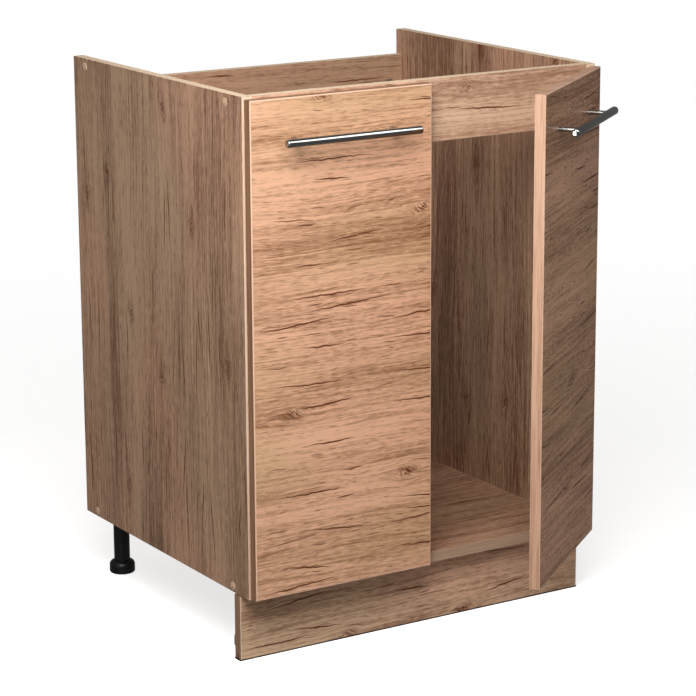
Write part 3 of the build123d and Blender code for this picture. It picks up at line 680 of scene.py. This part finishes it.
LEG_X = 257
LEG_LINES = (46, 444)
SOCKET_UNDERSIDE = 96
LEG_SCREW_STEP = 14.5
SUNK_HEAD = [(1.75, -1.75), (3.5, 0)]
spots = [
    Matrix.Translation((x + step_x, y + step_y, SOCKET_UNDERSIDE))
    @ Matrix.Rotation(pi, 4, "X")
    @ Matrix.Rotation(step_x + step_y / 2, 4, "Z")
    for x in (-LEG_X, LEG_X)
    for y in LEG_LINES
    for step_x in (-LEG_SCREW_STEP, LEG_SCREW_STEP)
    for step_y in (-LEG_SCREW_STEP, LEG_SCREW_STEP)
]
screws("leg_screws", wood_screw(15, SUNK_HEAD), 2.0, 1.3, spots)

black = black_plastic("black_plastic")
dress(black, "leg_sockets", "leg_columns")

# The foot: a lathed base with six grips cut in its rim for the fingers or a key, and a thread.
FOOT_RADIUS = 20
FOOT_STEPS = 72
GRIPS = 6
GRIP_HEIGHT = 5.5
GRIP_HALF_ANGLE = radians(7)
GRIP_INNER = 11
RIM_INNER = 19
GROOVE_RADIUS = 19.3
SPINDLE_CORE = 6.9
SPINDLE_RADIUS = 7.95
THREAD_PITCH = 4
THREAD_TURNS = 11
THREAD_STEPS = 24


def at_grip(face, inner):
    """True for a face below the grips' top, outside a radius, in one of the grips' sectors."""
    centre = face.calc_center_median()
    swing = atan2(centre.y, centre.x) % (2 * pi / GRIPS) - pi / GRIPS
    outside = centre.to_2d().length > inner
    return centre.z < GRIP_HEIGHT and outside and abs(swing) < GRIP_HALF_ANGLE


def foot_shape():
    """Foot and spindle in one: the base from the floor up, its grips, and the spindle's thread."""
    shaped = bmesh.new()
    rim = [(0, 0), (GRIP_INNER, 0), (18.4, 0), (FOOT_RADIUS, 1.8), (FOOT_RADIUS, GRIP_HEIGHT)]
    groove = [(FOOT_RADIUS, 9.6), (GROOVE_RADIUS, 10.0), (GROOVE_RADIUS, 11.2)]
    groove += [(FOOT_RADIUS, 11.6), (FOOT_RADIUS, 13)]
    shoulder = [(19.3, 15.6), (17.2, 18.0), (14.8, 19.3), (12.5, 20)]
    spindle = [(SPINDLE_CORE, 20), (SPINDLE_CORE, 69), (SPINDLE_CORE - 1, 70), (0, 70)]
    lathe(shaped, rim + groove + shoulder + spindle, FOOT_STEPS)
    # Each grip: the rim's faces in its sector go in to the core, and its floor is opened. The
    # rim's own faces are kept too, as over a screw's recess, so a grip is open only from below.
    walls = [face for face in shaped.faces if at_grip(face, RIM_INNER)]
    moved = bmesh.ops.extrude_face_region(shaped, geom=walls)["geom"]
    for vert in [item for item in moved if isinstance(item, bmesh.types.BMVert)]:
        inwards = GRIP_INNER / vert.co.to_2d().length
        vert.co.x *= inwards
        vert.co.y *= inwards
    floors = [
        face
        for face in shaped.faces
        if at_grip(face, GRIP_INNER * 0.99) and max(vert.co.z for vert in face.verts) < NEAR
    ]
    bmesh.ops.delete(shaped, geom=floors, context="FACES")
    bmesh.ops.remove_doubles(shaped, verts=shaped.verts, dist=10 * NEAR)
    # The thread is a ridge wound round the spindle, rooted a little inside it.
    root = SPINDLE_CORE - 0.2
    ridge = [(root, 21), (SPINDLE_RADIUS, 21.8), (SPINDLE_RADIUS, 22.6), (root, 23.4)]
    section = [shaped.verts.new((radius, 0, height)) for radius, height in ridge]
    bmesh.ops.spin(
        shaped,
        geom=[shaped.faces.new(section)],
        cent=(0, 0, 0),
        axis=(0, 0, 1),
        dvec=(0, 0, THREAD_PITCH / THREAD_STEPS),
        angle=2 * pi * THREAD_TURNS,
        steps=THREAD_TURNS * THREAD_STEPS,
        use_duplicate=False,
    )
    return shaped


for side in ("left", "right"):
    for line in ("front", "rear"):
        foot = f"{line}_{side}_foot"
        low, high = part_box(foot)
        axis = ((low.x + high.x) / 2 * MM, (low.y + high.y) / 2 * MM, 0)
        shape = copied(foot_shape(), [Matrix.Translation(axis)])
        piece(f"{foot}_threaded", shape, black, foot, foot, crease=28)

# ---- Plinth clips ----
# Spring clips snapped round the two front legs. Each slides in a track screwed to the plinth's
# back, so that the plinth pulls off without tools.

dress(black, "plinth_clips", "plinth_clip_tracks")
CLIP_SCREW_STEP = 16
TRACK_FACE = 10.5
CLIP_LEVEL = 50
spots = [
    Matrix.Translation((x + step, TRACK_FACE, CLIP_LEVEL)) @ Matrix.Rotation(-pi / 2, 4, "X")
    for x in (-LEG_X, LEG_X)
    for step in (-CLIP_SCREW_STEP, CLIP_SCREW_STEP)
]
screws("plinth_clip_screws", wood_screw(13, SUNK_HEAD), 2.0, 1.3, spots)

# ---- Hinges ----
# Two cup hinges a door. The pressed steel cup is let into the door and turns on a pin in the eye of
# a cranked arm, and the arm is held to a cast plate on the side panel by two screws.


def nickel_plate(name):
    """Nickel-plated pressed steel with faint drawing lines."""
    material, shader, place = finish(name, Metallic=1.0)
    drawn = place.noise((1500, 90, 90), 2.0)
    clouds = place.noise((140, 140, 140), 2.0)
    feed(
        shader,
        Base_Color=clouds.ramp(0.3, 0.7).blend(shade(176, 174, 168), shade(206, 204, 198)),
        Roughness=drawn * 0.14 + 0.16,
        Normal=raised(drawn, 0.00001),
    )
    return material


nickel = nickel_plate("nickel_plated_steel")
for side in ("left", "right"):
    dress(nickel, f"{side}_hinge_arms", f"{side}_hinge_cups", f"{side}_hinge_pins")
dress(cast_zinc, "left_hinge_plates", "right_hinge_plates")

HINGE_LEVELS = (203, 682)
PLATE_FACE = 282
PLATE_SCREW_Y = 3
PLATE_SCREW_STEP = 16
ARM_FACE = 273.2
ARM_SCREW_LINES = (-11, 16)


def on_side(side, x, y, z, spin):
    """A spot on a side panel's fittings, its Z pointing to the cabinet's middle. The left side is
    -1 and the right side 1."""
    return (
        Matrix.Translation((side * x, y, z))
        @ Matrix.Rotation(-side * pi / 2, 4, "Y")
        @ Matrix.Rotation(spin, 4, "Z")
    )


def machine_screw(length, radius, head):
    """Profile of a screw with a flat, chamfered end, from that end up to its head."""
    return [(0, -length), (radius - 0.3, -length), (radius, 0.4 - length)] + head


spots = [
    on_side(side, PLATE_FACE, PLATE_SCREW_Y, level + step, level + step)
    for side in (-1, 1)
    for level in HINGE_LEVELS
    for step in (-PLATE_SCREW_STEP, PLATE_SCREW_STEP)
]
plate_screw = machine_screw(12, 2.5, [(2.5, -1.1), (3.6, 0)])
screws("hinge_plate_screws", plate_screw, 2.1, 1.4, spots)
spots = [
    on_side(side, ARM_FACE, y, level, level + y)
    for side in (-1, 1)
    for level in HINGE_LEVELS
    for y in ARM_SCREW_LINES
]
arm_screw = machine_screw(8, 2.5, [(2.5, 0), (4, 0), (4, 1.2), (3.6, 1.9), (3.0, 2.2)])
screws("hinge_arm_screws", arm_screw, 2.2, 1.6, spots)

# ---- Doors ----
# Two doors of the same chipboard, pressed with a warmer print whose grain runs across them. Their
# 2 mm bands are milled with a small round, so the band's rim shows as a pale line round each face.

DOOR_OAK = shade(238, 185, 151), shade(222, 178, 139), shade(144, 100, 69)
DOOR_ROUGHNESS = 0.3
DOOR_PRINT_STARTS = {"left": (0.55, 0.27, 0.0), "right": (1.9, 1.63, 0.0)}
# Painted shade and light: the left door's band print is darker, for its edge in shade, and the open
# right door's is lighter, for light falling on its free edge.
DOOR_BAND_SHADED_AND_LIT = {
    "left": (shade(162, 121, 90), shade(112, 76, 51)),
    "right": (shade(214, 171, 143), shade(160, 114, 87)),
}
DOOR_RIM = shade(232, 190, 162)
# How far each door stands open at rest. The right one's limit is where it would be shut.
hinges = {joint["child"]: joint for joint in frame["joints"] if joint["type"] == "hinge"}
ajar = {"left": 0.0, "right": -radians(hinges["right_door"]["range_deg"][0])}


def door_band(name, colours, direction):
    """Door edge: the printed band, with its pale milled rim where it meets the door's face."""
    material, shader, place = finish(name, Specular_IOR_Level=0.4)
    flat = faces(place, (0, 0, 1)).ramp(0.4, 0.6)
    colour, lines = band_print(flat.blend(place.moved(rotation=GRAIN_UP), place), *colours)
    feed(
        shader,
        Base_Color=faces(place, direction).ramp(0.15, 0.5).blend(colour, DOOR_RIM),
        Roughness=lines * 0.15 + 0.36,
        Normal=raised(lines, 0.00005, 0.5),
    )
    return material


HINGE_AXIS_X = 291.5
HINGE_AXIS_Y = -46.1
DOOR_INSIDE = 9.6
CUP_FLANGE = 1.0
CUP_SCREW_ALONG = -19.5
CUP_SCREW_STEP = 24


def on_door(door, along, inward, level, spin=0.0):
    """A spot on a door, measured from its hinge axis, its Z pointing into the cabinet."""
    side = 1 if door == "right" else -1
    return (
        Matrix.Translation((side * HINGE_AXIS_X, HINGE_AXIS_Y, level))
        @ Matrix.Rotation(side * ajar[door], 4, "Z")
        @ Matrix.Translation((side * along, inward, 0))
        @ Matrix.Rotation(-pi / 2, 4, "X")
        @ Matrix.Rotation(spin, 4, "Z")
    )


cup_screw = wood_screw(13, [(1.75, 0), (3.5, 0), (3.5, 0.5), (3.0, 1.0)])
for door, start in DOOR_PRINT_STARTS.items():
    spots = [
        on_door(door, CUP_SCREW_ALONG, DOOR_INSIDE + CUP_FLANGE, level + step, level + step)
        for level in HINGE_LEVELS
        for step in (-CUP_SCREW_STEP, CUP_SCREW_STEP)
    ]
    screws(f"{door}_cup_screws", cup_screw, 1.9, 0.9, spots, f"{door}_door")
    # The grain and the outer face turn with the door.
    turn = ajar[door]
    grain = (Matrix.Rotation(-pi / 2, 3, "X") @ Matrix.Rotation(-turn, 3, "Z")).to_euler("XYZ")
    outward = (sin(turn), -cos(turn), 0)
    dress(
        oak_board(f"oak_{door}_door", grain, start, DOOR_OAK, outward, DOOR_ROUGHNESS),
        f"{door}_door_panel",
    )
    dress(
        door_band(f"band_{door}_door", DOOR_BAND_SHADED_AND_LIT[door], outward),
        f"{door}_door_edge_bands",
    )

# ---- Handles ----
# A bar handle on each door: a polished chrome bar with rounded ends, carried by two turned posts in
# satin chrome. Two screws go through the door from inside into the posts.


def chrome(name, roughness):
    """Chrome plate with the faintest hand marks, polished or, if rougher, satin."""
    material, shader, place = finish(name, Metallic=1.0)
    marks = place.noise((220, 220, 220), 3.0, 0.6)
    feed(
        shader,
        Base_Color=marks.ramp(0.3, 0.7).blend(shade(156, 156, 153), shade(170, 170, 167)),
        Roughness=marks.ramp(0.5, 0.8) * 0.08 + roughness,
    )
    return material


HANDLE_LEVEL = 759
HANDLE_SCREW_SEAT = 7.6
POST_PLACES = (-221.5, -61.5)
BAR_HALF = 110
BAR_RADIUS = 6
BAR_INWARD = -38.4
BAR_STEPS = 64
END_ROUND = 2.2
END_STEPS = 5
polished = chrome("polished_chrome", 0.07)
satin = chrome("satin_chrome", 0.27)
handle_screw = machine_screw(26, 2.0, [(2.0, 0), (4, 0), (4, 1.1), (3.6, 1.7), (3.0, 2.0)])

# The bar's profile: its end's middle, the round, and the same at the other end.
bar_end = [(0, BAR_HALF)]
for step in range(END_STEPS + 1):
    round_turn = step * pi / (2 * END_STEPS)
    radius = BAR_RADIUS - END_ROUND + END_ROUND * sin(round_turn)
    bar_end.append((radius, BAR_HALF - END_ROUND + END_ROUND * cos(round_turn)))
bar_profile = bar_end + [(radius, -height) for radius, height in reversed(bar_end)]

for door in ("left", "right"):
    dress(satin, f"{door}_handle_posts")
    bar = bmesh.new()
    lathe(bar, bar_profile, BAR_STEPS)
    bar_middle = on_door(door, sum(POST_PLACES) / 2, BAR_INWARD, HANDLE_LEVEL)
    piece(
        f"{door}_handle_round_bar",
        copied(bar, [bar_middle @ Matrix.Rotation(pi / 2, 4, "Y")]),
        polished,
        f"{door}_door",
        f"{door}_handle_bar",
    )
    spots = [
        on_door(door, along, HANDLE_SCREW_SEAT, HANDLE_LEVEL, along) for along in POST_PLACES
    ]
    screws(f"{door}_handle_screws", handle_screw, 2.2, 1.5, spots, f"{door}_door")

# ---- Door bumpers ----
# Clear soft pads, domed and 2 mm high, stuck inside each door's two free corners. They take the
# knock when the door shuts.


def soft_pad(name):
    """Clear soft plastic, milky at its edge."""
    material, shader, place = finish(name, Transmission_Weight=0.5, IOR=1.45)
    haze = place.noise((400, 400, 400), 2.0)
    feed(
        shader,
        Base_Color=haze.ramp(0.2, 0.8).blend(shade(214, 214, 208), shade(236, 236, 232)),
        Roughness=haze * 0.2 + 0.2,
    )
    return material


BUMPER_ALONG = -278
BUMPER_LEVELS = (108, 805)
PAD_FOOT = [(0, 0), (4.0, 0), (4.0, 0.6)]
PAD_DOME = [(3.8, 1.1), (3.2, 1.6), (2.2, 1.88), (1.1, 1.97), (0, 2)]
clear = soft_pad("bumper_plastic")
for door in ("left", "right"):
    pad = bmesh.new()
    lathe(pad, PAD_FOOT + PAD_DOME)
    spots = [on_door(door, BUMPER_ALONG, DOOR_INSIDE, level) for level in BUMPER_LEVELS]
    piece(
        f"{door}_door_bumper_pads",
        copied(pad, spots),
        clear,
        f"{door}_door",
        f"{door}_door_bumpers",
    )

# ---- Floor, light and camera ----
# A plain pale floor that melts into a white surround, and one soft light, close to the cabinet at
# its front left and above, so that the doors grow darker towards the floor.

FLOOR_RADIUS = 3.2
FLOOR_GONE = FLOOR_RADIUS * 0.95
FLOOR_WHOLE = 0.7
floor_mesh = bpy.data.meshes.new("floor")
disc = bmesh.new()
bmesh.ops.create_circle(disc, cap_ends=True, segments=96, radius=FLOOR_RADIUS)
disc.to_mesh(floor_mesh)
disc.free()
floor = bpy.data.objects.new("floor", floor_mesh)
floor.visible_diffuse = False
floor.visible_glossy = False
bpy.context.scene.collection.objects.link(floor)

floor_finish, floor_shader, floor_place = finish(
    "pale_floor",
    Roughness=0.9,
    Specular_IOR_Level=0.1,
    Emission_Color=(1, 1, 1, 1),
    Emission_Strength=0.72,
)
from_middle = floor_place.node(
    "ShaderNodeVectorMath", {"operation": "LENGTH"}, {"Vector": floor_place}, "Value"
)
grit = floor_place.noise((30, 30, 30), 3.0)
feed(
    floor_shader,
    Base_Color=grit.ramp(0.3, 0.7).blend(shade(208, 208, 208), shade(214, 214, 213)),
    Alpha=from_middle.ramp(FLOOR_GONE, FLOOR_WHOLE),
)
floor_mesh.materials.append(floor_finish)

cabinet_middle = (Vector(cad_box[0]) + Vector(cad_box[1])) / 2


def soft_light(name, place, size, power):
    """Square soft light that looks at the cabinet's middle."""
    data = bpy.data.lights.new(name, "AREA")
    data.size = size
    data.energy = power
    light = bpy.data.objects.new(name, data)
    light.location = place
    light.rotation_mode = "QUATERNION"
    light.rotation_quaternion = (cabinet_middle - Vector(place)).to_track_quat("-Z", "Y")
    light.visible_camera = False
    bpy.context.scene.collection.objects.link(light)
    return light


soft_light("soft_light", (-0.90, -1.03, 1.62), size=1.1, power=36.5)
# Two more lights show only in reflections: one along the bars, one in the open door's bar end.
glint = soft_light("chrome_glint", (1.18, -1.56, 2.26), size=1.5, power=25)
glint.visible_diffuse = False
end_glint = soft_light("chrome_end_glint", (-1.33, -0.71, 0.51), size=0.4, power=2.5)
end_glint.visible_diffuse = False

# The surround is white to the camera, lights softly, and shows dark in reflections.
SURROUND_SEEN = (1, 1, 1, 1)
SURROUND_LIGHT = (0.24, 0.231, 0.221, 1)
SURROUND_IN_CHROME = (0.13, 0.13, 0.128, 1)
world = bpy.data.worlds.new("studio")
world.use_nodes = True
bpy.context.scene.world = world
studio = world.node_tree
ray_kinds = studio.nodes.new("ShaderNodeLightPath").outputs
seen = Wire(studio, ray_kinds["Is Camera Ray"])
mirrored = Wire(studio, ray_kinds["Is Glossy Ray"])
surround = seen.blend(mirrored.blend(SURROUND_LIGHT, SURROUND_IN_CHROME), SURROUND_SEEN)
studio.links.new(surround.socket, studio.nodes["Background"].inputs["Color"])

CAMERA_PLACE = (-2.062, -3.112, 1.350)
CAMERA_YAW = radians(32.09)
CAMERA_PITCH = radians(-13.96)
CAMERA_ROLL = radians(-0.30)
FOCAL_PIXELS = 2632
IMAGE_PIXELS = 696
SENSOR_WIDTH = 36
camera_data = bpy.data.cameras.new("camera")
camera_data.sensor_width = SENSOR_WIDTH
camera_data.lens = SENSOR_WIDTH * FOCAL_PIXELS / IMAGE_PIXELS
camera_data.clip_end = 60
camera = bpy.data.objects.new("camera", camera_data)
camera.location = CAMERA_PLACE
level_reach = cos(CAMERA_PITCH)
looking = Vector(
    (sin(CAMERA_YAW) * level_reach, cos(CAMERA_YAW) * level_reach, sin(CAMERA_PITCH))
)
camera.rotation_mode = "QUATERNION"
camera.rotation_quaternion = looking.to_track_quat("-Z", "Y") @ Quaternion((0, 0, 1), CAMERA_ROLL)
bpy.context.scene.collection.objects.link(camera)
bpy.context.scene.camera = camera
bpy.context.scene.view_settings.view_transform = "Standard"
